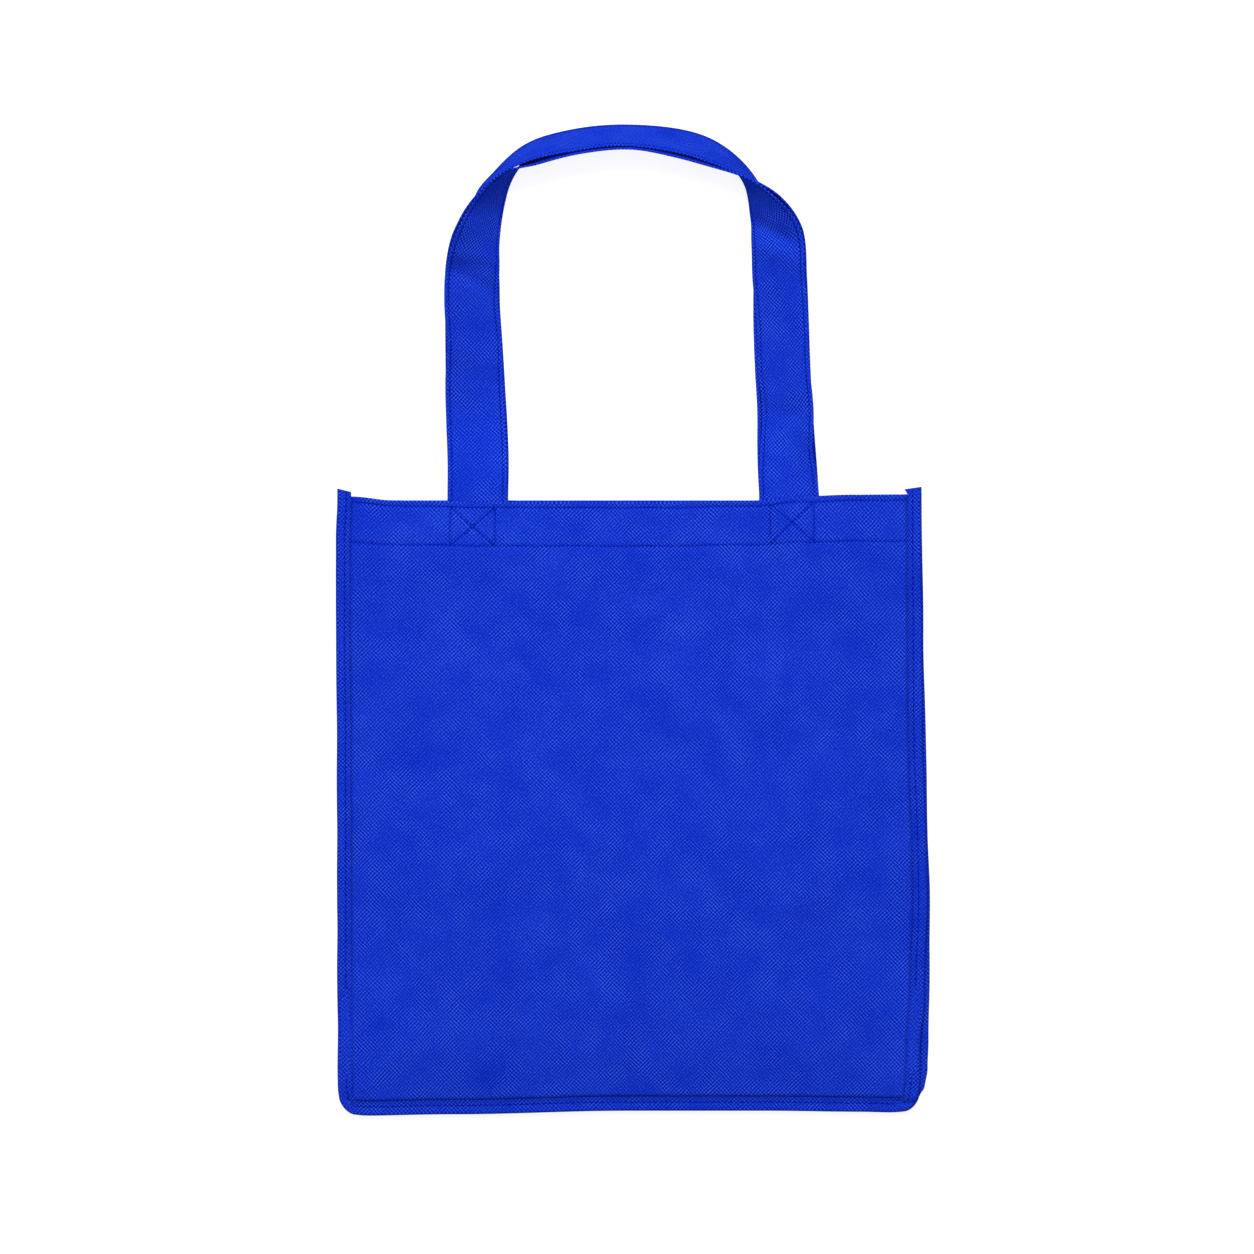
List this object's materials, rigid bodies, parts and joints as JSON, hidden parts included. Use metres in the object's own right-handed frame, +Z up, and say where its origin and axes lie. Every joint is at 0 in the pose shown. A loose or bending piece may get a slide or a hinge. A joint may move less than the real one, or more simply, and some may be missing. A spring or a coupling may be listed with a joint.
{
  "type": "reusable carrier bag",
  "caption": "Royal-blue non-woven plastic carrier bag with long twisted strap handles, bound seams and a folded-in gusset, laid flat and empty.",
  "frame": {"origin": "under the middle of the laid-out bag, on the surface that it lies on", "axes": "+X to the right seen from the front panel, +Y from the bag's bottom seam towards its handles, +Z up, out of the front panel"},
  "size_m": [0.326, 0.5454, 0.035],
  "materials": {
    "fabric_blue": "satin, point-bonded non-woven polypropylene",
    "binding_blue": "satin, point-bonded non-woven polypropylene",
    "strap_blue": "satin, point-bonded non-woven polypropylene"
  },
  "bodies": {
    "root": {"front_panel": "fabric_blue", "back_panel": "fabric_blue", "gusset": "fabric_blue", "front_binding": "binding_blue", "back_binding": "binding_blue", "front_handle": "strap_blue", "back_handle": "strap_blue"}
  },
  "joints": []
}
